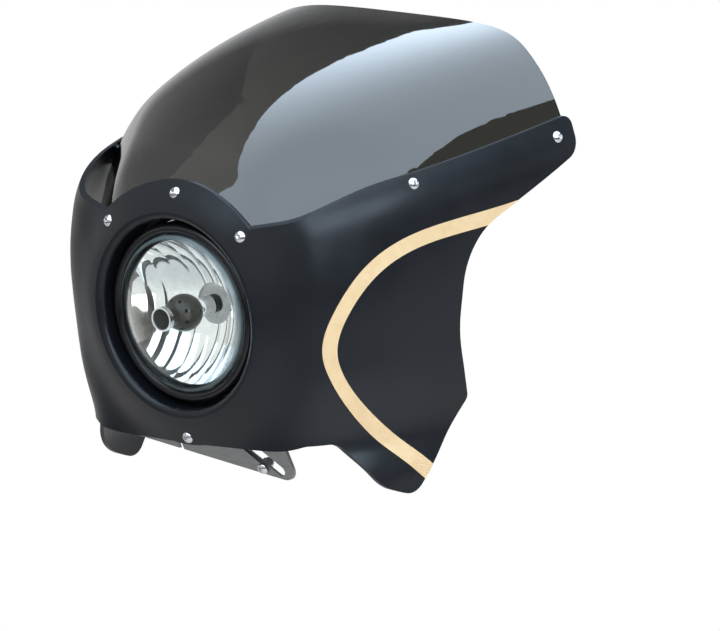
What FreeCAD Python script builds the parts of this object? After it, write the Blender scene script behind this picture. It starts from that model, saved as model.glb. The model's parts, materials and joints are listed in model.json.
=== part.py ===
import FreeCAD, Part
import math
import os
from FreeCAD import Placement, Rotation, Vector

# Motorcycle fairing: a one-piece shell round a single headlamp, with a smoked bubble windshield.
# The forms are drawn about the headlamp: x to the bike's left, y to the rear, z up from the lamp's axis,
# with y = 0 at the rim of the lens. The origin of the part lies between its two mounting bolts.

doc = FreeCAD.newDocument("motorcycle_fairing")
dims = doc.addObject("Spreadsheet::Sheet", "dims")

SIZES = {
    # Place of the headlamp ahead of and above the mounting bolts
    "lamp_reach": 72.0,
    "lamp_rise": 103.0,
    # Form of shell and windshield: level sections between a nose and two sides
    "front_y": 5.0,
    "hood_height": 16.0,
    "hood_radius": 80.0,
    "hood_foot_radius": 140.0,
    "lean_start": 75.0,
    "lean_rise_power": 2.645,
    "lean_reach_power": 2.755,
    "crown_y": 425.3,
    "crown_z": 213.7,
    "side_half_width": 197.0,
    "side_taper": 0.115,
    "shoulder_start": 95.0,
    "shoulder_rise_power": 1.2,
    "shoulder_width_power": 7.05,
    "corner_squareness": 9.0,
    "crown_squareness": 2.76,
    "squareness_height": 112.0,
    "chin_squareness_loss": 0.035,
    "chin_loss_start": -60.0,
    "chin_loss_reach": 50.0,
    "tail_squareness_gain": 0.2,
    "rear_plane": 430.0,
    "section_step": 18.0,
    # Shell wall and its outline in side view: each corner's y, z and radius
    "wall": 4.0,
    "top_edge_slope": 0.5,
    "top_edge_bend_y": 58.0,
    "top_edge_bend_z": 113.0,
    "top_edge_bend_radius": 240.0,
    "rear_top_y": 322.5,
    "rear_top_z": 137.0,
    "rear_top_radius": 8.0,
    "rear_low_y": 320.5,
    "rear_low_z": 104.0,
    "rear_low_radius": 20.0,
    "throat_y": 176.0,
    "throat_z": 50.0,
    "throat_radius": 100.0,
    "waist_y": 167.0,
    "waist_z": -34.0,
    "waist_radius": 120.0,
    "hip_y": 182.0,
    "hip_z": -97.0,
    "hip_radius": 8.0,
    "tail_y": 112.0,
    "tail_z": -174.0,
    "tail_radius": 20.0,
    "tail_front_y": 71.0,
    "tail_front_z": -158.0,
    "tail_front_radius": 45.0,
    "fork_arch_y": 40.0,
    "fork_arch_z": -113.5,
    "fork_arch_radius": 15.0,
    "chin_corner_y": 17.0,
    "chin_corner_radius": 8.0,
    "chin_y": 5.0,
    "chin_z": -119.5,
    "arch_radius": 121.0,
    # Headlamp opening with its rolled-in lip
    "opening_radius": 87.0,
    "opening_depth": 34.0,
    "opening_roll": 6.0,
    "opening_sink": 2.4,
    # Windshield
    "screen_gap": 0.4,
    "screen_thickness": 3.0,
    "screen_overlap": 22.0,
    "screen_rear_low_y": 315.4,
    "screen_rear_bend_z": 190.0,
    "screen_rear_top_y": 324.4,
    "screen_rear_radius": 60.0,
    # Flatter corners of the windshield, which cut across the shell's corners
    "facet_slope": 1.162,
    "facet_reach": 108.0,
    "facet_height": 78.0,
    "facet_rise": 0.697,
    "facet_bow": 0.0023,
    "facet_bow_height": 110.0,
    "facet_softness": 14.0,
    # Gold stripe on each side: the points of its middle line in side view, and its widths
    "stripe_rear_y": 262.0,
    "stripe_rear_z": 69.5,
    "stripe_upper_y": 166.0,
    "stripe_upper_z": 65.0,
    "stripe_brow_y": 57.0,
    "stripe_brow_z": 34.5,
    "stripe_front_y": 28.0,
    "stripe_front_z": -21.0,
    "stripe_lower_y": 76.0,
    "stripe_lower_z": -106.0,
    "stripe_tail_y": 148.0,
    "stripe_tail_z": -173.0,
    "stripe_width": 14.0,
    "stripe_front_width": 11.0,
    "stripe_thickness": 0.3,
    "stripe_gap": 0.03,
    # Windshield screws: button heads on a circle about the lamp and along each side
    "screw_circle_radius": 111.0,
    "screw_circle_angle": 45.0,
    "side_screw_y": 125.0,
    "side_screw_z": 111.0,
    "rear_screw_y": 300.0,
    "rear_screw_z": 120.3,
    "screw_radius": 3.0,
    "screw_length": 22.0,
    "screw_head_radius": 5.5,
    "screw_head_height": 3.3,
    "socket_radius": 2.3,
    "socket_depth": 2.0,
    "hole_clearance": 0.4,
    "seat_gap": 0.05,
    "nut_radius": 5.8,
    "nut_height": 5.0,
    "nut_collar": 2.0,
    "nut_collar_radius": 4.6,
    "rubber_radius": 8.0,
    "rubber_thickness": 3.0,
    # Chin bracket, folded from sheet
    "bracket_sheet": 3.0,
    "bracket_bend": 3.0,
    "web_half_width": 92.0,
    "web_front_half_width": 66.0,
    "web_rear_y": 98.0,
    "web_flare_y": 34.0,
    "web_window_radius": 14.0,
    "skirt_y": 16.0,
    "skirt_z": -115.0,
    "skirt_slope": 0.445,
    "skirt_left_x": 99.0,
    "skirt_left_z": -154.0,
    "skirt_right_x": -80.0,
    "skirt_right_z": -124.0,
    "skirt_corner_radius": 14.0,
    "notch_x": -30.0,
    "notch_width": 5.0,
    "notch_depth": 8.0,
    "slot_upper_x": 55.0,
    "slot_upper_z": -119.0,
    "slot_lower_x": 82.0,
    "slot_lower_z": -142.0,
    "slot_width": 11.0,
    "chin_screw_z": -114.0,
    "chin_screw_length": 13.0,
    "chin_seat_gap": 0.15,
    "bush_radius": 7.0,
    "mount_spacing": 90.0,
    "mount_hole_radius": 4.2,
    # Strap on the skirt
    "strap_width": 9.0,
    "strap_sheet": 2.0,
    "strap_upper_x": 37.0,
    "strap_upper_z": -119.0,
    "strap_lower_x": 63.0,
    "strap_lower_z": -142.0,
    # Side stays
    "stay_radius": 3.0,
    "stay_bend": 14.0,
    "stay_eye_radius": 9.0,
    "stay_eye_height": 3.0,
    "stay_foot_x": 78.0,
    "stay_foot_y": 66.0,
    "stay_lead": 20.0,
    # Headlamp
    "lens_radius": 71.5,
    "lens_curve": 100.2,
    "lens_dome": 30.0,
    "glass": 3.0,
    "lens_skirt": 6.0,
    "ring_clearance": 0.5,
    "ring_width": 10.0,
    "ring_sheet": 3.0,
    "ring_depth": 20.0,
    "seal_depth": 3.0,
    "bucket_sheet": 1.5,
    "bucket_depth": 80.0,
    "boot_radius": 27.0,
    "boot_height": 16.0,
    "boot_length": 24.0,
    "boot_overlap": 4.0,
    "boot_bore": 9.0,
    "reflector_sheet": 2.5,
    "reflector_curve": 74.0,
    "reflector_neck": 19.0,
    "flute_curve": 26.0,
    "flute_depth": 1.0,
    "flute_step": 11.0,
    "gasket": 2.0,
    "bulb_radius": 8.5,
    "bulb_tip_y": 8.0,
    "bulb_flange_radius": 24.0,
    "bulb_flange": 4.0,
    "bulb_socket_radius": 13.5,
    "bulb_socket_length": 31.0,
    "shield_radius": 17.0,
    "shield_y": 5.0,
    "shield_sheet": 1.2,
    "shield_hole_radius": 1.7,
    "shield_hole_angle": 52.0,
    "shield_stem_radius": 8.5,
    "shield_cap_radius": 11.0,
    "shield_cap_y": -25.5,
    "shield_cap_height": 5.0,
    "shield_cap_rim": 1.4,
    "shield_cap_recess": 1.0,
    "boss_radius": 13.0,
    "boss_y": 42.0,
    "short_screw_length": 16.0,
    "ring_screw_length": 6.0,
}

for row, (alias, value) in enumerate(SIZES.items(), 1):
    dims.set(f"A{row}", alias)
    dims.set(f"B{row}", str(value))
    dims.setAlias(f"B{row}", alias)
doc.recompute()

LAMP = Vector(0, -dims.lamp_reach, dims.lamp_rise)
AT_LAMP = Placement(LAMP, Rotation())
TO_REAR = Rotation(Vector(1, 0, 0), -90)
TO_SIDE = Rotation(Vector(0, 1, 0), 90)
SIDES = {"left": 1, "right": -1}
# Points from the nose to the rear of a level section, and reaches clear of the part
SAMPLES = 13
FLUTES_PER_SIDE = 4
SHIELD_HOLES = 8
CROWN_STEPS = 8
CROWN_SHARE = 0.985
# Most of a straight run that one rounded turn may take
RUN_SHARE = 0.48
FRONT = -80.0
CLEAR = 300.0
REARWARD = Vector(0, 1, 0)

NODES = {}


def feature(name, shape, placement=AT_LAMP):
    """A document object holding a shape, put in place after its shape is set."""
    obj = doc.addObject("Part::Feature", name)
    obj.Shape = shape
    obj.Placement = placement
    return obj


def solid(kind, name, y="0", z="0", rotation=None, **sizes):
    """A primitive on the middle plane, with its sizes and place given as expressions."""
    obj = doc.addObject("Part::" + kind, name)
    if rotation:
        obj.Placement = Placement(Vector(), rotation)
    for size, expression in sizes.items():
        obj.setExpression(size, expression)
    obj.setExpression("Placement.Base.y", y)
    obj.setExpression("Placement.Base.z", z)
    return obj


def primitive(kind, name, y="0", z="0", rotation=None, **sizes):
    """A primitive placed about the lamp."""
    return solid(kind, name, f"{y} - dims.lamp_reach", f"{z} + dims.lamp_rise", rotation, **sizes)


def rod(name, radius, length, y):
    """A cylinder along the lamp's axis from y to the rear."""
    return primitive("Cylinder", name, y, rotation=TO_REAR, Radius=radius, Height=length)


def ball(name, radius, y):
    return primitive("Sphere", name, y, Radius=radius)


def cut(name, base, tool):
    obj = doc.addObject("Part::Cut", name)
    obj.Base = base
    obj.Tool = tool
    return obj


def common(name, base, tool):
    obj = doc.addObject("Part::Common", name)
    obj.Base = base
    obj.Tool = tool
    return obj


def fuse(name, *shapes):
    obj = doc.addObject("Part::MultiFuse", name)
    obj.Shapes = list(shapes)
    return obj


def rounded(points, radii, closed):
    """A wire of straight runs through points, each turn rounded by a tangent arc that fits its runs."""
    count = len(points)
    starts = []
    middles = []
    ends = []
    for i in range(count):
        corner = points[i]
        back = points[i - 1] - corner
        ahead = points[(i + 1) % count] - corner
        half_turn = (math.pi - back.getAngle(ahead)) / 2
        reach = min(radii[i] * math.tan(half_turn), RUN_SHARE * min(back.Length, ahead.Length))
        if reach == 0 or (not closed and i in (0, count - 1)):
            starts.append(corner)
            middles.append(None)
            ends.append(corner)
            continue
        back.normalize()
        ahead.normalize()
        radius = reach / math.tan(half_turn)
        starts.append(corner + back * reach)
        middles.append(corner + (back + ahead).normalize() * (radius / math.cos(half_turn) - radius))
        ends.append(corner + ahead * reach)
    edges = []
    for i in range(count):
        if middles[i]:
            edges.append(Part.Arc(starts[i], middles[i], ends[i]).toShape())
        if closed or i < count - 1:
            edges.append(Part.LineSegment(ends[i], starts[(i + 1) % count]).toShape())
    return Part.Wire(edges)


def side_view(name, corners):
    """A solid with a rounded outline in side view, reaching past the part on both sides."""
    wire = rounded([Vector(-CLEAR, y, z) for y, z, _ in corners], [r for _, _, r in corners], True)
    return feature(name, Part.Face(wire).extrude(Vector(2 * CLEAR, 0, 0)))


# Form of the fairing


def form_section(height):
    """Nose, half width and squareness of the form at a height."""
    lean = max(0, height - dims.lean_start) / (dims.crown_z - dims.lean_start)
    nose_reach = (1 - lean ** dims.lean_rise_power) ** (1 / dims.lean_reach_power)
    nose = dims.crown_y - (dims.crown_y - dims.front_y) * nose_reach
    roll = max(0, height - dims.shoulder_start) / (dims.crown_z - dims.shoulder_start)
    half = dims.side_half_width + dims.side_taper * min(height, dims.shoulder_start)
    half *= (1 - roll ** dims.shoulder_rise_power) ** (1 / dims.shoulder_width_power)
    fade = math.exp(-(max(0, height) / dims.squareness_height) ** 2)
    squareness = dims.crown_squareness + (dims.corner_squareness - dims.crown_squareness) * fade
    squareness -= dims.chin_squareness_loss * min(max(0, dims.chin_loss_start - height), dims.chin_loss_reach)
    squareness += dims.tail_squareness_gain * max(0, dims.chin_z - height)
    return nose, half, squareness


def hood(x, height):
    """Forward bulge of the round hood about the headlamp."""
    radius = math.hypot(x, height)
    share = (radius - dims.hood_radius) / (dims.hood_foot_radius - dims.hood_radius)
    share = min(1, max(0, share))
    return dims.hood_height * (1 - share * share * (3 - 2 * share))


def facet(x, height, inset):
    """Position of the windshield's flat corner at a point, inset from the shell's inner face."""
    reach = dims.facet_reach - dims.facet_rise * (height - dims.facet_height)
    reach -= dims.facet_bow * max(0, height - dims.facet_bow_height) ** 2
    sink = (inset - dims.wall) * math.hypot(1, dims.facet_slope)
    return dims.facet_slope * abs(x) - reach + sink


def level_curve(height, inset, flattened):
    """The U-shaped curve of a level section of the form, inset from its outer face."""
    nose, half, squareness = form_section(height)
    nose += inset
    half -= inset
    points = []
    for i in range(-SAMPLES, SAMPLES + 1):
        share = 1 - (1 - abs(i) / SAMPLES) ** 2
        x = math.copysign(share * half, i)
        y = nose + (dims.rear_plane - nose) * (1 - math.sqrt(1 - share ** squareness))
        y -= hood(x, height)
        if flattened:
            flat = facet(x, height, inset)
            y = (y + flat + math.hypot(y - flat, dims.facet_softness)) / 2
        points.append(Vector(x, y, height))
    return points


def skin(name, heights, outer_inset, inner_inset, flattened=False):
    """A thin solid lofted through level sections, between two insets of the form."""
    wires = []
    for height in heights:
        outer = level_curve(height, outer_inset, flattened)
        inner = level_curve(height, inner_inset, flattened)[::-1]
        outer_curve = Part.BSplineCurve()
        outer_curve.interpolate(outer)
        inner_curve = Part.BSplineCurve()
        inner_curve.interpolate(inner)
        wires.append(Part.Wire([
            outer_curve.toShape(),
            Part.LineSegment(outer[-1], inner[0]).toShape(),
            inner_curve.toShape(),
            Part.LineSegment(inner[-1], outer[0]).toShape(),
        ]))
    return feature(name, Part.makeLoft(wires, True))


def even_steps(low, high, step):
    count = math.ceil((high - low) / step)
    return [low + (high - low) * i / count for i in range(count + 1)]


def top_edge(drop):
    """Corners of the shell's top edge in side view, lowered by a drop."""
    front_z = dims.top_edge_bend_z - dims.top_edge_slope * (dims.top_edge_bend_y - FRONT)
    return [
        (FRONT, front_z - drop, 0),
        (dims.top_edge_bend_y, dims.top_edge_bend_z - drop, dims.top_edge_bend_radius),
    ]


# Shell, trimmed in side view and round the arch over the lamp

shell_bottom = dims.tail_z - dims.section_step
shell_top = dims.rear_top_z + 2 * dims.section_step
shell_heights = even_steps(shell_bottom, shell_top, dims.section_step)
shell_skin = skin("shell_skin", shell_heights, 0, dims.wall)
shell_outline = top_edge(0) + [
    (dims.rear_top_y, dims.rear_top_z, dims.rear_top_radius),
    (dims.rear_low_y, dims.rear_low_z, dims.rear_low_radius),
    (dims.throat_y, dims.throat_z, dims.throat_radius),
    (dims.waist_y, dims.waist_z, dims.waist_radius),
    (dims.hip_y, dims.hip_z, dims.hip_radius),
    (dims.tail_y, dims.tail_z, dims.tail_radius),
    (dims.tail_front_y, dims.tail_front_z, dims.tail_front_radius),
    (dims.fork_arch_y, dims.fork_arch_z, dims.fork_arch_radius),
    (dims.chin_corner_y, dims.fork_arch_z, dims.chin_corner_radius),
    (dims.chin_y, dims.chin_z, 0),
    (FRONT, dims.chin_z, 0),
]
shell_side = side_view("shell_side", shell_outline)
arch = rod("arch", "dims.arch_radius", "dims.hood_foot_radius", str(FRONT))
shell_trim = fuse("shell_trim", shell_side, arch)
shell_panel = common("shell_panel", shell_skin, shell_trim)
lip = rod("lip", "dims.opening_radius + dims.wall", "dims.opening_depth",
          "dims.front_y - dims.hood_height + dims.opening_sink")
opening = rod("opening", "dims.opening_radius", "dims.hood_foot_radius", str(FRONT))
shell_open = cut("shell_open", fuse("shell_lip", shell_panel, lip), opening)
doc.recompute()


def lip_edges(shape):
    """Numbers of the edges where the opening meets the shell's outer face."""
    numbers = []
    front = LAMP.y + dims.front_y - dims.hood_height + dims.wall
    for number, edge in enumerate(shape.Edges, 1):
        start = edge.Vertexes[0].Point - LAMP
        on_bore = abs(math.hypot(start.x, start.z) - dims.opening_radius) < dims.seat_gap
        if on_bore and edge.BoundBox.YMax < front:
            numbers.append(number)
    return numbers


shell_rolled = doc.addObject("Part::Fillet", "shell_rolled")
shell_rolled.Base = shell_open
roll = dims.opening_roll
shell_rolled.Edges = [(number, roll, roll) for number in lip_edges(shell_open.Shape)]
doc.recompute()

# Windshield

screen_inset = dims.wall + dims.screen_gap
screen_bottom = dims.top_edge_bend_z - dims.screen_overlap - dims.top_edge_bend_y
screen_heights = [height for height in shell_heights if height > screen_bottom - 2 * dims.section_step]
crown_start = screen_heights[-1]
for i in range(1, CROWN_STEPS + 1):
    share = math.sin(i / CROWN_STEPS * math.pi / 2 * CROWN_SHARE)
    screen_heights.append(crown_start + (dims.crown_z - crown_start) * share)
screen_skin = skin("screen_skin", screen_heights, screen_inset, screen_inset + dims.screen_thickness, True)
screen_outline = top_edge(dims.screen_overlap) + [
    (dims.screen_rear_low_y, dims.rear_top_z - dims.screen_overlap, dims.rear_top_radius),
    (dims.screen_rear_low_y, dims.screen_rear_bend_z, dims.screen_rear_radius),
    (dims.screen_rear_top_y, dims.crown_z, 0),
    (dims.screen_rear_top_y, CLEAR, 0),
    (FRONT, CLEAR, 0),
]
screen_side = side_view("screen_side", screen_outline)
screen_panel = common("screen_panel", screen_skin, screen_side)
screen_arch = rod("screen_arch", "dims.arch_radius - dims.screen_overlap", "dims.hood_foot_radius",
                  str(FRONT))
screen_open = cut("screen_open", screen_panel, screen_arch)
doc.recompute()

# Fasteners, drawn along z with the seat of the head or nut at z = 0


def button_screw(name, length):
    """A button-head screw with a hexagon socket."""
    curve = "((dims.screw_head_radius^2 + dims.screw_head_height^2) / (2 * dims.screw_head_height))"
    dome = solid("Sphere", name + "_dome", z=f"dims.screw_head_height - {curve}", Radius=curve)
    blank = solid("Cylinder", name + "_blank", Radius="dims.screw_head_radius",
                  Height="dims.screw_head_height")
    shank = solid("Cylinder", name + "_shank", z=f"-{length}", Radius="dims.screw_radius", Height=length)
    socket = solid("Prism", name + "_socket", z="dims.screw_head_height - dims.socket_depth",
                   Circumradius="dims.socket_radius", Height="dims.screw_head_height")
    socket.Polygon = 6
    head = common(name + "_head", dome, blank)
    return cut(name, fuse(name + "_body", head, shank), socket)


def lock_nut(name):
    """A hexagon nut with a round collar, below its seat."""
    hexagon = solid("Prism", name + "_hexagon", z="-dims.nut_height", Circumradius="dims.nut_radius",
                    Height="dims.nut_height")
    hexagon.Polygon = 6
    collar = solid("Cylinder", name + "_collar", z="-dims.nut_height - dims.nut_collar",
                   Radius="dims.nut_collar_radius", Height="dims.nut_collar")
    bore = solid("Cylinder", name + "_bore", z="-dims.nut_height - dims.nut_collar",
                 Radius="dims.screw_radius + dims.seat_gap", Height="dims.nut_height + dims.nut_collar")
    return cut(name, fuse(name + "_body", hexagon, collar), bore)


def copy_of(name, pattern, place):
    """A node with its own copy of a pattern."""
    NODES[name] = feature(name, pattern.Shape.copy(), place)


class Seat:
    """A point on a face with its outward normal, from which a fastener goes in."""

    def __init__(self, shape, start, direction):
        line = Part.LineSegment(start, start + direction * CLEAR).toShape()
        met = line.common(shape).Vertexes
        self.point = min((vertex.Point for vertex in met), key=lambda point: (point - start).Length)
        vertex = Part.Vertex(self.point)
        face = min(shape.Faces, key=lambda item: item.distToShape(vertex)[0])
        u, v = face.Surface.parameter(self.point)
        self.normal = face.normalAt(u, v)
        if self.normal.dot(direction) > 0:
            self.normal = -self.normal

    def place(self, depth):
        """A placement at a depth below the face, with z along the outward normal."""
        return Placement(self.point - self.normal * depth, Rotation(Vector(0, 0, 1), self.normal))

    def crossings(self, shape):
        """Depths at which the fastener's axis enters and leaves a shape."""
        line = Part.LineSegment(self.point, self.point - self.normal * CLEAR / 2).toShape()
        return sorted((vertex.Point - self.point).Length for vertex in line.common(shape).Vertexes)

    def drum(self, radius, top, bottom):
        """A round bar along the axis between two depths."""
        return Part.makeCylinder(radius, bottom - top, self.point - self.normal * top, -self.normal)


screw = button_screw("screw_pattern", "dims.screw_length")
chin_screw = button_screw("chin_screw_pattern", "dims.chin_screw_length")
short_screw = button_screw("short_screw_pattern", "dims.short_screw_length")
ring_screw = button_screw("ring_screw_pattern", "dims.ring_screw_length")
nut = lock_nut("nut_pattern")
doc.recompute()

# Windshield screws, each with a rubber washer and a lock nut inside


def front_seat(angle):
    """A windshield screw on the circle about the lamp."""
    turn = math.radians(angle)
    x = dims.screw_circle_radius * math.sin(turn)
    z = dims.screw_circle_radius * math.cos(turn)
    return Seat(shell_panel.Shape, LAMP + Vector(x, FRONT, z), REARWARD)


def side_seat(side, y, z):
    """A windshield screw on the side of the shell."""
    return Seat(shell_panel.Shape, LAMP + Vector(side * CLEAR, y, z), Vector(-side, 0, 0))


hole_radius = dims.screw_radius + dims.hole_clearance
screen_seats = {"top": front_seat(0)}
for name, side in SIDES.items():
    screen_seats[name + "_front"] = front_seat(side * dims.screw_circle_angle)
    screen_seats[name + "_side"] = side_seat(side, dims.side_screw_y, dims.side_screw_z)
    screen_seats[name + "_rear"] = side_seat(side, dims.rear_screw_y, dims.rear_screw_z)
chin_seat = Seat(shell_panel.Shape, LAMP + Vector(0, FRONT, dims.chin_screw_z), REARWARD)

shell_holes = [chin_seat.drum(hole_radius, -hole_radius, 2 * dims.wall)]
screen_holes = []
for place, seat in screen_seats.items():
    depth = seat.crossings(screen_open.Shape)[-1]
    shell_holes.append(seat.drum(hole_radius, -hole_radius, depth))
    screen_holes.append(seat.drum(hole_radius, 0, 2 * depth))
    washer_end = depth + dims.rubber_thickness
    washer = seat.drum(dims.rubber_radius, depth - dims.screen_thickness / 2, washer_end)
    washer = washer.cut(screen_open.Shape).cut(seat.drum(hole_radius, 0, 2 * washer_end))
    nut_depth = washer_end + dims.seat_gap
    if place.endswith("side"):
        nut_depth += dims.stay_eye_height + dims.seat_gap
    copy_of(place + "_screw", screw, seat.place(-dims.seat_gap))
    NODES[place + "_rubber_washer"] = feature(place + "_rubber_washer", washer, Placement())
    copy_of(place + "_lock_nut", nut, seat.place(nut_depth))
shell_drills = feature("shell_drills", Part.makeCompound(shell_holes), Placement())
screen_drills = feature("screen_drills", Part.makeCompound(screen_holes), Placement())
NODES["fairing_shell"] = cut("fairing_shell", shell_rolled, shell_drills)
NODES["windshield"] = cut("windshield", screen_open, screen_drills)

# Gold stripes: a thin layer on the shell between two curves


def stripe_band(name):
    """A solid whose side view is the stripe, reaching past the part on both sides."""
    keys = ["rear", "upper", "brow", "front", "lower", "tail"]
    widths = []
    middle_points = []
    for key in keys:
        y = getattr(dims, f"stripe_{key}_y")
        z = getattr(dims, f"stripe_{key}_z")
        middle_points.append(Vector(-CLEAR, y, z))
        widths.append(dims.stripe_front_width if key == "front" else dims.stripe_width)
    middle = Part.BSplineCurve()
    middle.interpolate(middle_points)
    edges = []
    for sign in (1, -1):
        points = []
        for point, width in zip(middle_points, widths):
            tangent = Vector(*middle.tangent(middle.parameter(point))[0])
            points.append(point + tangent.cross(Vector(sign, 0, 0)) * (width / 2))
        curve = Part.BSplineCurve()
        curve.interpolate(points[::sign])
        edges.append(curve)
    first, second = edges
    wire = Part.Wire([
        first.toShape(),
        Part.LineSegment(first.EndPoint, second.StartPoint).toShape(),
        second.toShape(),
        Part.LineSegment(second.EndPoint, first.StartPoint).toShape(),
    ])
    return feature(name, Part.Face(wire).extrude(Vector(2 * CLEAR, 0, 0)))


leaf = skin("leaf", shell_heights, -dims.stripe_thickness, -dims.stripe_gap)
band = stripe_band("band")
for name, side in SIDES.items():
    half = Part.makeBox(CLEAR, 2 * CLEAR, 2 * CLEAR, Vector(min(0, side) * CLEAR, -CLEAR, -CLEAR))
    half_space = feature(name + "_half", half, Placement())
    side_band = common(name + "_band", band, half_space)
    side_band = common(name + "_band_trimmed", side_band, shell_side)
    NODES[name + "_stripe"] = common(name + "_stripe", leaf, side_band)

# Chin bracket: a level web under the lamp, folded down into a skirt behind the chin

web_top = -dims.lamp_rise
web_bottom = web_top - dims.bracket_sheet
lean = math.hypot(1, dims.skirt_slope)


def skirt_front(z):
    """Position of the skirt's front face at a height."""
    return dims.skirt_y + (dims.skirt_z - z) * dims.skirt_slope


def front_view(name, corners):
    """A solid with a rounded outline in front view, reaching past the part to front and rear."""
    wire = rounded([Vector(x, -CLEAR, z) for x, z, _ in corners], [r for _, _, r in corners], True)
    return feature(name, Part.Face(wire).extrude(Vector(0, 2 * CLEAR, 0)))


def bar_view(name, upper_x, upper_z, lower_x, lower_z, width):
    """A round-ended bar in front view, reaching past the part to front and rear."""
    upper = Vector(upper_x, -CLEAR, upper_z)
    lower = Vector(lower_x, -CLEAR, lower_z)
    across = (lower - upper).cross(Vector(0, 1, 0)).normalize() * (width / 2)
    along = (lower - upper).normalize() * (width / 2)
    wire = Part.Wire([
        Part.LineSegment(upper + across, lower + across).toShape(),
        Part.Arc(lower + across, lower + along, lower - across).toShape(),
        Part.LineSegment(lower - across, upper - across).toShape(),
        Part.Arc(upper - across, upper - along, upper + across).toShape(),
    ])
    return feature(name, Part.Face(wire).extrude(Vector(0, 2 * CLEAR, 0)))


skirt_low = min(dims.skirt_left_z, dims.skirt_right_z) - dims.skirt_corner_radius
folded = side_view("folded", [
    (dims.web_rear_y, web_top, 0),
    (skirt_front(web_top), web_top, dims.bracket_bend + dims.bracket_sheet),
    (skirt_front(skirt_low), skirt_low, 0),
    (skirt_front(skirt_low) + dims.bracket_sheet * lean, skirt_low, 0),
    (skirt_front(web_bottom) + dims.bracket_sheet * lean, web_bottom, dims.bracket_bend),
    (dims.web_rear_y, web_bottom, 0),
])
skirt_view = front_view("skirt_view", [
    (dims.skirt_left_x, CLEAR, 0),
    (dims.skirt_left_x, dims.skirt_left_z, dims.skirt_corner_radius),
    (dims.skirt_right_x, dims.skirt_right_z, dims.bracket_bend),
    (dims.skirt_right_x, CLEAR, 0),
])
web_corners = [
    (dims.web_front_half_width, FRONT, 0),
    (dims.web_front_half_width, dims.web_flare_y, dims.skirt_corner_radius),
    (dims.web_half_width, dims.stay_foot_y - 2 * dims.stay_eye_radius, dims.skirt_corner_radius),
    (dims.web_half_width, dims.web_rear_y, dims.stay_eye_radius),
]
web_corners += [(-x, y, r) for x, y, r in reversed(web_corners)]
web_floor = web_bottom - dims.bracket_bend
web_wire = rounded([Vector(x, y, web_floor) for x, y, _ in web_corners], [r for _, _, r in web_corners], True)
web_plan = feature("web_plan", Part.Face(web_wire).extrude(Vector(0, 0, CLEAR)))
below = feature("below", Part.makeBox(2 * CLEAR, 2 * CLEAR, CLEAR, Vector(-CLEAR, -CLEAR, web_floor - CLEAR)))
skirt_room = common("skirt_room", below, skirt_view)
bracket_blank = common("bracket_blank", folded, fuse("bracket_room", web_plan, skirt_room))
slot = bar_view("slot", dims.slot_upper_x, dims.slot_upper_z, dims.slot_lower_x, dims.slot_lower_z,
                dims.slot_width)
notch_z = dims.skirt_right_z + (dims.skirt_left_z - dims.skirt_right_z) * (
    (dims.notch_x - dims.skirt_right_x) / (dims.skirt_left_x - dims.skirt_right_x))
notch = bar_view("notch", dims.notch_x, notch_z + dims.notch_depth - dims.notch_width / 2, dims.notch_x,
                 notch_z - dims.notch_depth, dims.notch_width)
doc.recompute()


def upright(x, y, radius):
    """A drill through the web."""
    start = LAMP + Vector(x, y, web_top - 2 * dims.bracket_sheet)
    return Part.makeCylinder(radius, 4 * dims.bracket_sheet, start)


strap_layer = side_view("strap_layer", [
    (skirt_front(web_top) - dims.strap_sheet * lean, web_top, 0),
    (skirt_front(skirt_low) - dims.strap_sheet * lean, skirt_low, 0),
    (skirt_front(skirt_low), skirt_low, 0),
    (skirt_front(web_top), web_top, 0),
])
strap_bar = bar_view("strap_bar", dims.strap_upper_x, dims.strap_upper_z, dims.strap_lower_x,
                     dims.strap_lower_z, dims.strap_width)
strap_blank = common("strap_blank", strap_layer, strap_bar)
doc.recompute()

strap_seat = Seat(strap_blank.Shape, LAMP + Vector(dims.strap_lower_x, FRONT, dims.strap_lower_z), REARWARD)
strap_drill = feature("strap_drill", strap_seat.drum(hole_radius, -CLEAR / 2, CLEAR / 2), Placement())
holes = [
    upright(0, dims.boss_y, hole_radius),
    upright(0, dims.lamp_reach, dims.web_window_radius),
]
for side in SIDES.values():
    holes.append(upright(side * dims.mount_spacing / 2, dims.lamp_reach, dims.mount_hole_radius))
    holes.append(upright(side * dims.stay_foot_x, dims.stay_foot_y, hole_radius))
web_drills = feature("web_drills", Part.makeCompound(holes), Placement())
bracket_slotted = cut("bracket_slotted", cut("bracket_notched", bracket_blank, notch), slot)
bracket_drilled = cut("bracket_drilled", bracket_slotted, web_drills)
NODES["chin_bracket"] = cut("chin_bracket", bracket_drilled, strap_drill)
NODES["skirt_strap"] = cut("skirt_strap", strap_blank, strap_drill)
copy_of("strap_screw", short_screw, strap_seat.place(-dims.seat_gap))
strap_depth = strap_seat.crossings(bracket_blank.Shape)[-1]
copy_of("strap_lock_nut", nut, strap_seat.place(strap_depth + dims.seat_gap))

# Chin screw, held by a threaded bush on the fold of the bracket

copy_of("chin_screw", chin_screw, chin_seat.place(-dims.chin_seat_gap))
bush_end = chin_seat.crossings(bracket_blank.Shape)[0] + dims.bracket_sheet / 2
bush = chin_seat.drum(dims.bush_radius, dims.wall / 2, bush_end)
bush = bush.cut(shell_panel.Shape).cut(bracket_blank.Shape)
bush = bush.cut(chin_seat.drum(dims.screw_radius + dims.seat_gap, 0, dims.chin_screw_length))
NODES["chin_bush"] = feature("chin_bush", bush, Placement())

# Side stays: a bent rod with a flat eye at each end, from the web up to the side screws

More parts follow.
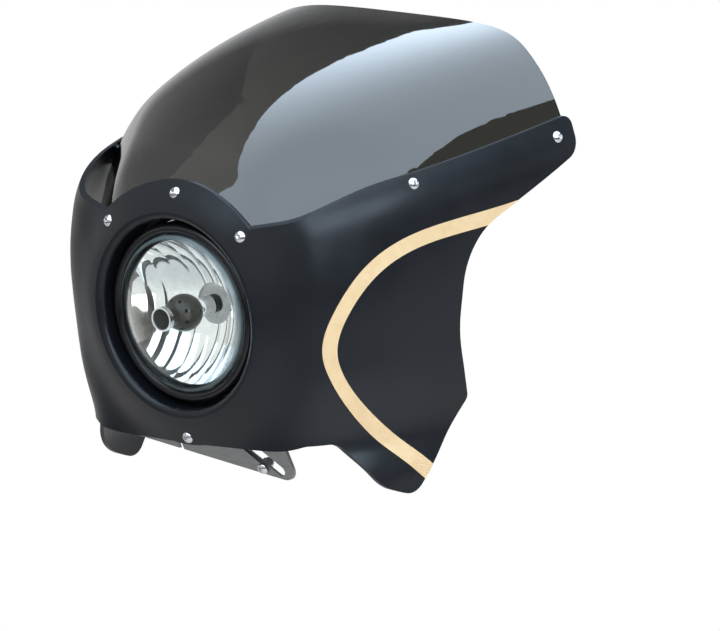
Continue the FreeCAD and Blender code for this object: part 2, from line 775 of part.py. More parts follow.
pad = Vector(0, 0, dims.seat_gap)
eye = Vector(0, 0, dims.stay_eye_height)
for name, side in SIDES.items():
    seat = screen_seats[name + "_side"]
    depth = seat.crossings(screen_open.Shape)[-1] + dims.rubber_thickness + dims.seat_gap
    eye_depth = depth + dims.stay_eye_height
    head = seat.point - seat.normal * (depth + dims.stay_radius)
    web_point = LAMP + Vector(side * dims.stay_foot_x, dims.stay_foot_y, web_top)
    foot = web_point + pad + Vector(0, 0, dims.stay_radius)
    down = foot - head
    down = (down - seat.normal * down.dot(seat.normal)).normalize()
    out = Vector(head.x - foot.x, head.y - foot.y, 0).normalize()
    path = rounded([foot, foot + out * dims.stay_lead, head + down * dims.stay_lead, head],
                   [0, dims.stay_bend, dims.stay_bend, 0], False)
    section = Part.Wire(Part.Circle(foot, out, dims.stay_radius).toShape())
    stay = path.makePipeShell([section], True, True)
    foot_eye = Part.makeCylinder(dims.stay_eye_radius, dims.stay_eye_height, web_point + pad)
    head_eye = seat.drum(dims.stay_eye_radius, depth, eye_depth)
    reach = 2 * dims.stay_eye_radius
    stay = stay.fuse([foot_eye, head_eye]).cut([
        Part.makeCylinder(dims.rubber_radius, reach, web_point + pad + eye),
        Part.makeCylinder(hole_radius, reach, web_point),
        seat.drum(dims.rubber_radius, eye_depth, eye_depth + reach),
        seat.drum(hole_radius, 0, eye_depth + reach),
    ])
    NODES[name + "_side_stay"] = feature(name + "_side_stay", stay, Placement())
    copy_of(name + "_stay_screw", short_screw, Placement(web_point + pad * 2 + eye, Rotation()))
    under_web = web_point - pad - Vector(0, 0, dims.bracket_sheet)
    copy_of(name + "_stay_lock_nut", nut, Placement(under_web, Rotation()))

# Headlamp: lens, gasket and reflector stacked from the front, in a trim ring and a bucket

lens_middle = "(dims.lens_curve - dims.lens_dome)"
lens_length = "dims.lens_dome + dims.lens_skirt"
lens_form = common("lens_form", ball("lens_outer", "dims.lens_curve", lens_middle),
                   rod("lens_rim", "dims.lens_radius", lens_length, "-dims.lens_dome"))
lens_hollow = common("lens_hollow", ball("lens_inner", "dims.lens_curve - dims.glass", lens_middle),
                     rod("lens_bore", "dims.lens_radius - dims.glass", f"2 * ({lens_length})",
                         "-dims.lens_dome"))
NODES["headlamp_lens"] = cut("headlamp_lens", lens_form, lens_hollow)

gasket_bore = "(dims.lens_radius - 2 * dims.glass)"
NODES["headlamp_gasket"] = cut("headlamp_gasket",
                               rod("gasket_outer", "dims.lens_radius", "dims.gasket", "dims.lens_skirt"),
                               rod("gasket_inner", gasket_bore, "dims.gasket", "dims.lens_skirt"))

rim_y = "(dims.lens_skirt + dims.gasket)"
ring_inner = "(dims.lens_radius + dims.ring_clearance)"
ring_outer = f"({ring_inner} + dims.ring_width)"
collar_inner = f"({ring_outer} - dims.ring_sheet)"
flange_radius = f"({collar_inner} - dims.ring_clearance)"
bead = primitive("Torus", "ring_bead", "dims.ring_width / 2", rotation=TO_REAR,
                 Radius1=f"{ring_inner} + dims.ring_width / 2", Radius2="dims.ring_width / 2")
collar = rod("ring_collar", ring_outer, "dims.ring_depth", "dims.ring_width / 2")
collar_front = cut("ring_front", fuse("ring_blank", bead, collar),
                   rod("ring_bore", ring_inner, "dims.ring_width", "0"))
ring_hollow = cut("ring_hollow", collar_front,
                  rod("ring_room", collar_inner, "2 * dims.ring_depth", f"{rim_y} - dims.seat_gap"))
ring_screw_y = f"({rim_y} + dims.reflector_sheet + dims.screw_head_radius)"
ring_drill = primitive("Cylinder", "ring_drill", ring_screw_y, f"-{ring_outer} - dims.ring_width",
                       Radius="dims.screw_radius + dims.hole_clearance", Height="2 * dims.ring_width")
NODES["headlamp_trim_ring"] = cut("headlamp_trim_ring", ring_hollow, ring_drill)

seal_y = "(dims.ring_width / 2 + dims.ring_depth - dims.seal_depth)"
seal_outer = rod("seal_outer", "dims.opening_radius - dims.ring_clearance / 2", "dims.seal_depth", seal_y)
seal_inner = rod("seal_inner", f"{ring_outer} + dims.ring_clearance / 2", "dims.seal_depth", seal_y)
NODES["surround_seal"] = cut("surround_seal", seal_outer, seal_inner)

reflector_middle = f"({rim_y} - sqrt(dims.reflector_curve^2 - {gasket_bore}^2))"
reflector_outer = "(dims.reflector_curve + dims.reflector_sheet)"
bowl = common("reflector_form", ball("reflector_outer", reflector_outer, reflector_middle),
              rod("reflector_room", reflector_outer, reflector_outer, rim_y))
flange = rod("reflector_flange", flange_radius, "dims.reflector_sheet", rim_y)
flutes = [ball("reflector_inner", "dims.reflector_curve", reflector_middle)]
for i in range(-FLUTES_PER_SIDE, FLUTES_PER_SIDE + 1):
    flute_reach = "(dims.reflector_curve - dims.flute_curve + dims.flute_depth)"
    turn = f"({i} * dims.flute_step)"
    flute = primitive("Torus", f"flute_{i + FLUTES_PER_SIDE}", reflector_middle, rotation=TO_SIDE,
                      Radius1=f"{flute_reach} * cos({turn})", Radius2="dims.flute_curve")
    flute.setExpression("Placement.Base.x", f"{flute_reach} * sin({turn})")
    flutes.append(flute)
reflector_hollow = cut("reflector_hollow", fuse("reflector_blank", bowl, flange), fuse("fluted", *flutes))
neck = rod("reflector_neck", "dims.reflector_neck", "dims.reflector_curve", rim_y)
NODES["headlamp_reflector"] = cut("headlamp_reflector", reflector_hollow, neck)

bucket_y = f"({rim_y} + dims.reflector_sheet)"


def bucket_form(name, inset):
    """The bowl of the bucket, inset from its outer face."""
    obj = primitive("Ellipsoid", name, bucket_y, rotation=TO_REAR, Radius1=f"dims.bucket_depth - {inset}",
                    Radius2=f"{flange_radius} - {inset}")
    obj.Angle1 = 0
    return obj


bucket_outer = bucket_form("bucket_outer", "0")
bucket_bowl = cut("bucket_bowl", bucket_outer, bucket_form("bucket_inner", "dims.bucket_sheet"))
bucket_neck = rod("bucket_neck", "dims.boot_radius - dims.boot_overlap", "2 * dims.bucket_depth", bucket_y)
NODES["headlamp_bucket"] = cut("headlamp_bucket", cut("bucket_bored", bucket_bowl, bucket_neck), ring_drill)

boot_start = f"({bucket_y} + dims.bucket_depth - dims.boot_height)"
boot_plug = cut("boot_plug", rod("boot_outer", "dims.boot_radius", "dims.boot_length", boot_start),
                bucket_outer)
boot_hole = rod("boot_hole", "dims.boot_bore", "2 * dims.boot_height", boot_start)
NODES["headlamp_boot"] = cut("headlamp_boot", boot_plug, boot_hole)

# Bulb, seated on the neck of the reflector, with a round shield on its tip

base_y = f"({reflector_middle} + sqrt({reflector_outer}^2 - dims.reflector_neck^2) + dims.seat_gap)"
bulb_start = "(dims.bulb_tip_y + dims.bulb_radius)"
NODES["bulb_glass"] = fuse("bulb_glass", ball("bulb_tip", "dims.bulb_radius", bulb_start),
                           rod("bulb_tube", "dims.bulb_radius", f"{base_y} - {bulb_start}", bulb_start))
bulb_flange = rod("bulb_flange", "dims.bulb_flange_radius", "dims.bulb_flange", base_y)
bulb_socket = rod("bulb_socket", "dims.bulb_socket_radius", "dims.bulb_socket_length", base_y)
NODES["bulb_base"] = fuse("bulb_base", bulb_flange, bulb_socket)
shield_ball = cut("shield_ball", ball("shield_outer", "dims.shield_radius", "dims.shield_y"),
                  ball("shield_inner", "dims.shield_radius - dims.shield_sheet", "dims.shield_y"))
shield_bore = rod("shield_bore", "dims.bulb_radius + dims.ring_clearance / 2", "2 * dims.shield_radius",
                  "dims.shield_y")
cap_back = "(dims.shield_cap_y + dims.shield_cap_height)"
shield_stem = cut("shield_stem", rod("shield_stem_bar", "dims.shield_stem_radius",
                                     f"dims.shield_y - {cap_back}", cap_back),
                  ball("shield_room", "dims.shield_radius - dims.shield_sheet", "dims.shield_y"))
shield_cap = cut("shield_cap", rod("shield_cap_blank", "dims.shield_cap_radius", "dims.shield_cap_height",
                                   "dims.shield_cap_y"),
                 rod("shield_cap_floor", "dims.shield_cap_radius - dims.shield_cap_rim",
                     "dims.shield_cap_recess", "dims.shield_cap_y"))
shield_body = fuse("shield_body", shield_ball, shield_stem, shield_cap)
shield_middle = LAMP + Vector(0, dims.shield_y, 0)
vent_start = dims.shield_radius / 2
shield_vents = []
for i in range(SHIELD_HOLES):
    tilt = Rotation(Vector(0, 0, 1), dims.shield_hole_angle)
    ray = Rotation(REARWARD, (i + 0.5) * 360 / SHIELD_HOLES).multVec(tilt.multVec(-REARWARD))
    vent_point = shield_middle + ray * vent_start
    shield_vents.append(Part.makeCylinder(dims.shield_hole_radius, dims.shield_radius, vent_point, ray))
shield_drills = feature("shield_drills", Part.makeCompound(shield_vents), Placement())
NODES["bulb_shield"] = cut("bulb_shield", cut("shield_vented", shield_body, shield_drills), shield_bore)

# Boss that carries the bucket on the web, and the lamp's two screws

boss_blank = primitive("Cylinder", "boss_blank", "dims.boss_y", "-dims.lamp_rise + dims.seat_gap",
                       Radius="dims.boss_radius", Height="dims.lamp_rise / 2")
boss_bore = primitive("Cylinder", "boss_bore", "dims.boss_y", "-dims.lamp_rise",
                      Radius="dims.screw_radius + dims.seat_gap", Height="dims.short_screw_length")
NODES["headlamp_boss"] = cut("headlamp_boss", cut("boss_saddle", boss_blank, bucket_outer), boss_bore)
doc.recompute()

UPSIDE_DOWN = Rotation(Vector(1, 0, 0), 180)
bolt_seat = LAMP + Vector(0, dims.boss_y, web_bottom - dims.seat_gap)
copy_of("headlamp_bolt", short_screw, Placement(bolt_seat, UPSIDE_DOWN))
ring_seat = ring_drill.Placement.Base + Vector(0, 0, dims.ring_width - dims.seat_gap)
copy_of("trim_ring_screw", ring_screw, Placement(ring_seat, UPSIDE_DOWN))

doc.recompute()
for obj in doc.Objects:
    if "Invalid" in obj.State or "Error" in obj.State:
        raise RuntimeError(f"{obj.Name} did not recompute: {obj.State}")
for node, obj in NODES.items():
    obj.Label = node
    if obj.Shape.isNull() or not obj.Shape.isValid() or not obj.Shape.Solids:
        raise RuntimeError(f"{node} has no valid solid")

os.makedirs("parts", exist_ok=True)
for node, obj in NODES.items():
    obj.Shape.exportStep(f"parts/{node}.step")
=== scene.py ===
import json
import math

import bpy
from mathutils import Matrix, Vector

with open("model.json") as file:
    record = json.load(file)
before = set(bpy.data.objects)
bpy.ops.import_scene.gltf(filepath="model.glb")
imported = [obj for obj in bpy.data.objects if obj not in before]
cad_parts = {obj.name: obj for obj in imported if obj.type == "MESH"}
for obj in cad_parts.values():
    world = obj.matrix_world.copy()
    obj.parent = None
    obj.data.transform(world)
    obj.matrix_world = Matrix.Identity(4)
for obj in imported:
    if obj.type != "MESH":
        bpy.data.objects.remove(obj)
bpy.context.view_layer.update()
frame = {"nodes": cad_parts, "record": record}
NODES = frame["nodes"]

# Lengths are in metres, in the part's frame: +X to the motorcycle's left, +Y to its rear, +Z up

# Middle of the headlamp's lens rim
LAMP = Vector((0.0, -0.072, 0.103))
# Distances from the lamp's axis where the thick rim of the lens starts to show and shows in full
LENS_RIM_START = 0.067
LENS_RIM_FULL = 0.069
# Front cap of the bulb shield, measured from the lens rim: its back and the floor of its recess
CAP_BACK = -0.0205
CAP_FLOOR = -0.0245
CAP_FACE_RADIUS = 0.0096
# Width over which one finish on the bulb shield gives way to the next
FINISH_EDGE = 0.0002


# Node helpers


def add_node(tree, kind, **settings):
    made = tree.nodes.new("ShaderNode" + kind)
    for key, value in settings.items():
        setattr(made, key, value)
    return made


def set_inputs(node, **constants):
    """Set a node's inputs by name, with an underscore for each space."""
    for socket, value in constants.items():
        node.inputs[socket.replace("_", " ")].default_value = value


def combine(tree, operation, first, second):
    """A number made from two others."""
    made = add_node(tree, "Math", operation=operation)
    tree.links.new(first, made.inputs[0])
    tree.links.new(second, made.inputs[1])
    return made.outputs["Value"]


def map_range(tree, value, **limits):
    """A number that follows another between two limits."""
    made = add_node(tree, "MapRange")
    set_inputs(made, **limits)
    tree.links.new(value, made.inputs["Value"])
    return made.outputs["Result"]


def colour_ramp(tree, value, low, high, start, end):
    """A colour that follows a number between two colours."""
    made = add_node(tree, "ValToRGB")
    first, last = made.color_ramp.elements
    first.position = start
    first.color = (*low, 1.0)
    last.position = end
    last.color = (*high, 1.0)
    tree.links.new(value, made.inputs["Fac"])
    return made.outputs["Color"]


def mix_shaders(tree, mask, under, over):
    """One shader where a mask is 0 and another where it is 1."""
    made = add_node(tree, "MixShader")
    tree.links.new(mask, made.inputs["Fac"])
    tree.links.new(under, made.inputs[1])
    tree.links.new(over, made.inputs[2])
    return made.outputs["Shader"]


class Paint:
    """A node material with one principled shader, built up by short calls."""

    def __init__(self, name, **constants):
        self.material = bpy.data.materials.new(name)
        self.material.use_nodes = True
        self.tree = self.material.node_tree
        self.shader = self.tree.nodes["Principled BSDF"]
        self.surface = self.tree.nodes["Material Output"].inputs["Surface"]
        set_inputs(self.shader, **constants)

    def node(self, kind, **settings):
        return add_node(self.tree, kind, **settings)

    def link(self, source, target):
        self.tree.links.new(source, target)

    def noise(self, scale, detail=3.0, stretch=(1.0, 1.0, 1.0), roughness=0.55):
        """Noise in the part's own coordinates, with its features about 1 / scale metres across."""
        place = self.node("TexCoord")
        mapping = self.node("Mapping")
        set_inputs(mapping, Scale=stretch)
        noise = self.node("TexNoise")
        set_inputs(noise, Scale=scale, Detail=detail, Roughness=roughness)
        self.link(place.outputs["Object"], mapping.inputs["Vector"])
        self.link(mapping.outputs["Vector"], noise.inputs["Vector"])
        return noise.outputs["Fac"]

    def about_lamp(self):
        """Distance from the lamp's axis, and distance behind its lens rim."""
        place = self.node("TexCoord").outputs["Object"]
        across = self.node("Mapping")
        set_inputs(across, Location=(0.0, 0.0, -LAMP.z), Scale=(1.0, 0.0, 1.0))
        radius = self.node("VectorMath", operation="LENGTH")
        along = self.node("Mapping")
        set_inputs(along, Location=-LAMP)
        split = self.node("SeparateXYZ")
        self.link(place, across.inputs["Vector"])
        self.link(across.outputs["Vector"], radius.inputs[0])
        self.link(place, along.inputs["Vector"])
        self.link(along.outputs["Vector"], split.inputs["Vector"])
        return radius.outputs["Value"], split.outputs["Y"]

    def cover(self, mask, **constants):
        """A second principled shader that takes over where a mask is 1."""
        under = self.surface.links[0].from_socket
        over = self.node("BsdfPrincipled")
        set_inputs(over, **constants)
        self.link(mix_shaders(self.tree, mask, under, over.outputs["BSDF"]), self.surface)

    def spread(self, value, low, high, start=0.3, end=0.7):
        """A number between two limits that follows a pattern."""
        return map_range(self.tree, value, From_Min=start, From_Max=end, To_Min=low, To_Max=high)

    def below(self, value, start, end):
        """1 below one limit and 0 above another, with a fade between them."""
        return self.spread(value, low=1.0, high=0.0, start=start, end=end)

    def blend(self, value, low, high, start=0.3, end=0.7):
        """A colour between two colours that follows a pattern."""
        return colour_ramp(self.tree, value, low, high, start, end)

    def colour(self, source):
        self.link(source, self.shader.inputs["Base Color"])

    def roughness(self, source):
        self.link(source, self.shader.inputs["Roughness"])

    def bump(self, height, strength, distance):
        made = self.node("Bump")
        set_inputs(made, Strength=strength, Distance=distance)
        self.link(height, made.inputs["Height"])
        self.link(made.outputs["Normal"], self.shader.inputs["Normal"])


# Materials


def satin_black():
    """Satin paint with a faint blue cast and fine orange peel."""
    paint = Paint("satin_black_paint", Specular_IOR_Level=0.42)
    tone = paint.noise(scale=9.0, detail=4.0)
    paint.colour(paint.blend(tone, low=(0.0065, 0.008, 0.0105), high=(0.011, 0.013, 0.0165)))
    paint.roughness(paint.spread(paint.noise(scale=45.0), low=0.28, high=0.34))
    paint.bump(paint.noise(scale=2400.0, detail=2.0), strength=0.05, distance=0.0002)
    return paint.material


def smoked_acrylic():
    """Dark warm smoke under a polished hard coat, with slight haze."""
    smoke = (0.034, 0.034, 0.029, 1.0)
    paint = Paint("smoked_acrylic", Base_Color=smoke, IOR=1.6, Transmission_Weight=1.0, Coat_Weight=1.0)
    paint.roughness(paint.spread(paint.noise(scale=22.0, detail=5.0), low=0.0, high=0.035))
    paint.bump(paint.noise(scale=14.0, detail=1.0), strength=0.006, distance=0.001)
    return paint.material


def gold_leaf():
    """Pale gold leaf, mottled where the sheets of leaf were laid."""
    paint = Paint("gold_leaf", Metallic=0.2)
    patches = paint.noise(scale=75.0, detail=6.0, roughness=0.7)
    dull, bright = (0.9, 0.63, 0.34), (0.97, 0.71, 0.41)
    paint.colour(paint.blend(patches, low=dull, high=bright, start=0.35, end=0.65))
    paint.roughness(paint.spread(paint.noise(scale=160.0, detail=4.0), low=0.38, high=0.55))
    paint.bump(paint.noise(scale=700.0, detail=4.0), strength=0.12, distance=0.0002)
    return paint.material


def chrome(name, level, smear):
    """Bright plating with faint polishing marks."""
    paint = Paint(name, Metallic=1.0)
    tone = paint.noise(scale=120.0, detail=4.0)
    dull = (level * 0.92, level * 0.93, level * 0.95)
    paint.colour(paint.blend(tone, low=dull, high=(level, level, level)))
    paint.roughness(paint.spread(paint.noise(scale=400.0, detail=4.0), low=smear * 0.6, high=smear * 1.4))
    paint.bump(paint.noise(scale=900.0, detail=3.0), strength=0.03, distance=0.0001)
    return paint.material


def brushed_aluminium():
    """Sheet brushed along the part's width."""
    paint = Paint("brushed_aluminium", Metallic=1.0)
    grain = paint.noise(scale=60.0, detail=6.0, stretch=(1.0, 30.0, 30.0))
    paint.colour(paint.blend(grain, low=(0.22, 0.225, 0.225), high=(0.38, 0.385, 0.38)))
    paint.roughness(paint.spread(grain, low=0.3, high=0.5))
    paint.bump(grain, strength=0.08, distance=0.0002)
    return paint.material


def clear_glass(name, tint):
    """Faintly wavy clear glass, with its reflections toned down to keep what lies behind it clear."""
    gloss = (0.3, 0.3, 0.3, 1.0)
    paint = Paint(name, Base_Color=(*tint, 1.0), IOR=1.5, Transmission_Weight=1.0, Specular_Tint=gloss)
    paint.roughness(paint.spread(paint.noise(scale=60.0, detail=4.0), low=0.0, high=0.012))
    paint.bump(paint.noise(scale=30.0, detail=1.0), strength=0.01, distance=0.0005)
    return paint


def lens_glass():
    """Clear glass whose thick rim gathers light and looks greenish; the light on the rim is painted as a
    pale grey-green, less clear colour.
    """
    paint = clear_glass("lens_glass", (0.95, 0.985, 0.97))
    radius, _ = paint.about_lamp()
    painted_rim_light = paint.spread(radius, low=0.0, high=0.8, start=LENS_RIM_START, end=LENS_RIM_FULL)
    # Painted light: the glow of the thick rim is painted as a pale grey-green, less clear colour
    paint.cover(painted_rim_light, Base_Color=(0.27, 0.33, 0.33, 1.0), Roughness=0.18, Transmission_Weight=0.3)
    return paint.material


def bulb_shield():
    """Dark warm grey ball, with a plated rim and a bare black face on its front cap."""
    paint = Paint("shield_grey", Metallic=0.7)
    tone = paint.noise(scale=140.0, detail=4.0)
    paint.colour(paint.blend(tone, low=(0.045, 0.042, 0.038), high=(0.075, 0.07, 0.064)))
    paint.roughness(paint.spread(paint.noise(scale=260.0), low=0.27, high=0.4))
    paint.bump(paint.noise(scale=1800.0, detail=2.0), strength=0.04, distance=0.0002)
    radius, depth = paint.about_lamp()
    cap = paint.below(depth, CAP_BACK - FINISH_EDGE, CAP_BACK + FINISH_EDGE)
    paint.cover(cap, Base_Color=(0.75, 0.75, 0.76, 1.0), Metallic=1.0, Roughness=0.15)
    front = paint.below(depth, CAP_FLOOR + FINISH_EDGE, CAP_FLOOR + 2 * FINISH_EDGE)
    within = paint.below(radius, CAP_FACE_RADIUS - FINISH_EDGE, CAP_FACE_RADIUS)
    face = combine(paint.tree, "MULTIPLY", front, within)
    black = (0.008, 0.008, 0.009, 1.0)
    paint.cover(face, Base_Color=black, Roughness=0.25, Specular_IOR_Level=0.1)
    return paint.material


def rubber():
    """Matte black rubber with a fine grain."""
    paint = Paint("black_rubber", Specular_IOR_Level=0.3)
    tone = paint.noise(scale=300.0, detail=4.0)
    paint.colour(paint.blend(tone, low=(0.012, 0.012, 0.012), high=(0.026, 0.026, 0.026)))
    paint.roughness(paint.spread(paint.noise(scale=500.0), low=0.65, high=0.85))
    paint.bump(paint.noise(scale=1500.0), strength=0.15, distance=0.0003)
    return paint.material


def dark_coat(name, low, high, roughness):
    """A dark coat of paint or plastic, with a slight unevenness."""
    paint = Paint(name)
    paint.colour(paint.blend(paint.noise(scale=140.0, detail=4.0), low, high))
    paint.roughness(paint.spread(paint.noise(scale=260.0), low=roughness * 0.8, high=roughness * 1.2))
    paint.bump(paint.noise(scale=1800.0, detail=2.0), strength=0.04, distance=0.0002)
    return paint.material


def zinc_steel():
    """Dull grey plated steel."""
    paint = Paint("zinc_steel", Metallic=0.95)
    tone = paint.noise(scale=350.0, detail=5.0)
    paint.colour(paint.blend(tone, low=(0.34, 0.34, 0.35), high=(0.52, 0.52, 0.53)))
    paint.roughness(paint.spread(paint.noise(scale=500.0, detail=4.0), low=0.28, high=0.45))
    paint.bump(paint.noise(scale=1400.0, detail=3.0), strength=0.06, distance=0.0002)
    return paint.material


SLOT_LOOKS = {
    "satin_black": satin_black(),
    "smoked_acrylic": smoked_acrylic(),
    "gold_leaf": gold_leaf(),
    "black_rubber": rubber(),
    "brushed_aluminium": brushed_aluminium(),
    "lens_glass": lens_glass(),
    "bulb_glass": clear_glass("bulb_glass", (0.97, 0.97, 0.97)).material,
    "gloss_black": dark_coat("gloss_black", (0.008, 0.008, 0.009), (0.014, 0.014, 0.015), 0.14),
    "reflector_chrome": chrome("reflector_chrome", level=0.9, smear=0.05),
    "shield_grey": bulb_shield(),
    "bucket_black": dark_coat("bucket_black", (0.01, 0.01, 0.011), (0.018, 0.018, 0.019), 0.4),
    "stay_black": dark_coat("stay_black", (0.012, 0.012, 0.013), (0.022, 0.022, 0.023), 0.35),
    "zinc_steel": zinc_steel(),
    "screw_chrome": chrome("screw_chrome", level=0.82, smear=0.14),
}

for entry in frame["record"]["subparts"]:
    mesh = NODES[entry["node"]].data
    mesh.materials.clear()
    mesh.materials.append(SLOT_LOOKS[entry["material_slot"]])


# Stage: a pale floor far below the part, and a room that is white where the camera sees it

FLOOR_HEIGHT = -0.85
FLOOR_SIZE = 60.0
FLOOR_COLOUR = (0.64, 0.56, 0.5, 1.0)
# Distances from the floor's middle between which it turns into the white background
FLOOR_FADE_START = 0.9
FLOOR_FADE_END = 2.2
# Light from the room itself, near the horizon and overhead: how far a direction points up, and the colour
HORIZON_RISE = 0.02
HORIZON_GLOW = (0.45, 0.46, 0.47)
OVERHEAD_RISE = 0.3
OVERHEAD_GLOW = (0.05, 0.052, 0.056)
# Sides of the room and of the floor that gloss sees as pale, and how white it is there
ROOM_SIDE = (-0.8, -0.6, 0.0)
FLOOR_SIDE = (-0.6, 0.8, 0.0)
SCREEN_WHITE = 0.45
# How far a direction turns to that side, as a cosine, where the pale starts and where it is full
SCREEN_START = 0.1
SCREEN_FULL = 0.65


def shows_white(tree, gloss):
    """1 for rays from the camera, straight or through glass, and a given share for rays off gloss."""
    path = add_node(tree, "LightPath").outputs
    seen = combine(tree, "MAXIMUM", path["Is Camera Ray"], path["Is Transmission Ray"])
    mirrored = combine(tree, "MULTIPLY", path["Is Glossy Ray"], gloss)
    return combine(tree, "MAXIMUM", seen, mirrored)


def backdrop_share(tree, place, side):
    """How white gloss sees a place, from the dark side to the side with the pale screen."""
    outwards = add_node(tree, "VectorMath", operation="NORMALIZE")
    towards = add_node(tree, "VectorMath", operation="DOT_PRODUCT")
    towards.inputs[1].default_value = side
    tree.links.new(place, outwards.inputs[0])
    tree.links.new(outwards.outputs["Vector"], towards.inputs[0])
    turned = towards.outputs["Value"]
    return map_range(tree, turned, From_Min=SCREEN_START, From_Max=SCREEN_FULL, To_Max=SCREEN_WHITE)


def make_floor():
    """A lit floor under the part that turns into the white background farther out."""
    half = FLOOR_SIZE / 2
    corners = [(-half, -half, 0), (half, -half, 0), (half, half, 0), (-half, half, 0)]
    mesh = bpy.data.meshes.new("floor")
    mesh.from_pydata(corners, [], [(0, 1, 2, 3)])
    floor = bpy.data.objects.new("floor", mesh)
    floor.location.z = FLOOR_HEIGHT
    bpy.context.scene.collection.objects.link(floor)
    look = Paint("pale_floor", Base_Color=FLOOR_COLOUR, Roughness=0.9)
    place = look.node("TexCoord").outputs["Object"]
    reach = look.node("VectorMath", operation="LENGTH")
    look.link(place, reach.inputs[0])
    reach = reach.outputs["Value"]
    far = look.spread(reach, low=0.0, high=1.0, start=FLOOR_FADE_START, end=FLOOR_FADE_END)
    seen = shows_white(look.tree, backdrop_share(look.tree, place, FLOOR_SIDE))
    share = combine(look.tree, "MULTIPLY", far, seen)
    white = look.node("Emission").outputs["Emission"]
    look.link(mix_shaders(look.tree, share, look.shader.outputs["BSDF"], white), look.surface)
    mesh.materials.append(look.material)


def make_world():
    """White where it is seen; for the part's own light, pale near the horizon and dark overhead."""
    world = bpy.data.worlds.new("studio")
    bpy.context.scene.world = world
    world.use_nodes = True
    tree = world.node_tree
    place = add_node(tree, "TexCoord").outputs["Generated"]
    split = add_node(tree, "SeparateXYZ")
    tree.links.new(place, split.inputs["Vector"])
    rise = split.outputs["Z"]
    glow = colour_ramp(tree, rise, HORIZON_GLOW, OVERHEAD_GLOW, HORIZON_RISE, OVERHEAD_RISE)
    room = tree.nodes["Background"]
    tree.links.new(glow, room.inputs["Color"])
    white = add_node(tree, "Background")
    set_inputs(white, Color=(1.0, 1.0, 1.0, 1.0))
    seen = shows_white(tree, backdrop_share(tree, place, ROOM_SIDE))
    mixed = mix_shaders(tree, seen, room.outputs["Background"], white.outputs["Background"])
    tree.links.new(mixed, tree.nodes["World Output"].inputs["Surface"])


make_floor()
make_world()


# Lights, placed from the lamp: a panel overhead, soft boxes in front and behind, and a fill on each side

SKY_TINT = (0.71, 0.85, 1.0)
WARM_TINT = (1.0, 0.97, 0.92)
PANEL_OFFSET = (0.0, 0.05, 1.5)
PANEL_FRONT = -2.9
PANEL_REAR = 2.9
PANEL_ROWS = 28
PANEL_STRENGTH = 2.55
# Each side of the panel: where it runs straight, where it starts to bow outwards, how much and how sharply
PANEL_RIGHT_SIDE = (-0.84, 0.0, -0.36, 1.35)
PANEL_LEFT_SIDE = (1.89, 0.6, 0.21, 1.9)


def panel_side(along, straight, bow_start, bow, power):
    return straight + bow * max(0.0, along - bow_start) ** power


def overhead_panel():
    """A pale panel that lights the part, and widens to the rear as its reflection shows."""
    points = []
    for row in range(PANEL_ROWS + 1):
        along = PANEL_FRONT + (PANEL_REAR - PANEL_FRONT) * row / PANEL_ROWS
        for side in (PANEL_RIGHT_SIDE, PANEL_LEFT_SIDE):
            points.append((panel_side(along, *side), along, 0.0))
    faces = [(k, k + 1, k + 3, k + 2) for k in range(0, 2 * PANEL_ROWS, 2)]
    mesh = bpy.data.meshes.new("overhead_panel")
    mesh.from_pydata(points, [], faces)
    look = Paint("panel_light", Base_Color=(0.0, 0.0, 0.0, 1.0))
    set_inputs(look.shader, Emission_Color=(*SKY_TINT, 1.0), Emission_Strength=PANEL_STRENGTH)
    mesh.materials.append(look.material)
    panel = bpy.data.objects.new("overhead_panel", mesh)
    panel.location = LAMP + Vector(PANEL_OFFSET)
    panel.visible_camera = False
    bpy.context.scene.collection.objects.link(panel)


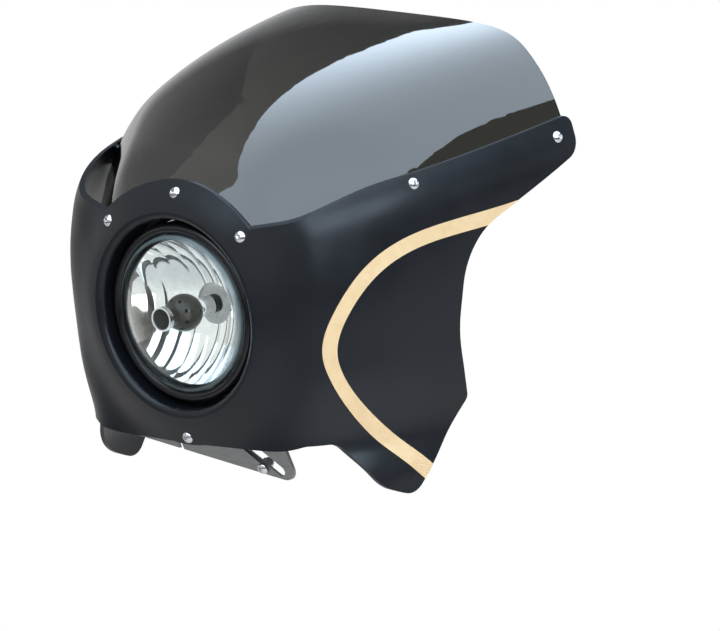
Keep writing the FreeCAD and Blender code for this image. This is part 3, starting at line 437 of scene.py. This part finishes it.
def soft_box(name, offset, aim, size, radiance, tint):
    """A rectangular light that faces its aim."""
    light = bpy.data.lights.new(name, "AREA")
    light.shape = "RECTANGLE"
    light.size, light.size_y = size
    light.energy = radiance * math.pi * size[0] * size[1]
    light.color = tint
    box = bpy.data.objects.new(name, light)
    box.location = LAMP + Vector(offset)
    box.rotation_euler = (Vector(aim) - Vector(offset)).to_track_quat("-Z", "Y").to_euler()
    box.visible_camera = False
    bpy.context.scene.collection.objects.link(box)
    return box


overhead_panel()
soft_box(
    "front_box",
    offset=(2.16, -0.58, 1.0),
    aim=(0.1, 0.05, 0.05),
    size=(3.3, 0.75),
    radiance=4.6,
    tint=SKY_TINT,
)
soft_box(
    "rear_box",
    offset=(0.0, 2.4, -0.1),
    aim=(0.0, 0.15, 0.0),
    size=(1.8, 0.9),
    radiance=1.6,
    tint=WARM_TINT,
)
# The two fills light the sides without a reflection of their own in the gloss
for side, strength in ((1.0, 1.6), (-1.0, 1.5)):
    fill = soft_box(
        "fill_box",
        offset=(1.9 * side, -0.45, -0.5),
        aim=(0.1 * side, 0.05, 0.0),
        size=(1.9, 0.8),
        radiance=strength,
        tint=WARM_TINT,
    )
    fill.visible_glossy = False


# Camera: the photograph's view direction, from far enough away that the part shows little perspective

VIEW_RIGHT = Vector((0.7564, 0.651, -0.0603))
VIEW_UP = Vector((-0.0968, 0.2026, 0.9741))
VIEW_BACK = VIEW_RIGHT.cross(VIEW_UP).normalized()
VIEW_DISTANCE = 20.0
VIEW_REACH = 100.0
FRAME_WIDTH = 0.645
SENSOR_WIDTH_MM = 36.0
# Middle of the picture, right of and below the lamp
MIDDLE_RIGHT = 0.1613
MIDDLE_UP = -0.0021


def make_camera():
    data = bpy.data.cameras.new("camera")
    data.sensor_width = SENSOR_WIDTH_MM
    data.lens = SENSOR_WIDTH_MM * VIEW_DISTANCE / FRAME_WIDTH
    data.clip_end = VIEW_REACH
    camera = bpy.data.objects.new("camera", data)
    middle = LAMP + VIEW_RIGHT * MIDDLE_RIGHT + VIEW_UP * MIDDLE_UP
    turn = Matrix((VIEW_RIGHT, VIEW_UP, VIEW_BACK)).transposed().to_4x4()
    camera.matrix_world = Matrix.Translation(middle + VIEW_BACK * VIEW_DISTANCE) @ turn
    bpy.context.scene.collection.objects.link(camera)
    bpy.context.scene.camera = camera


make_camera()
bpy.context.scene.view_settings.view_transform = "Standard"
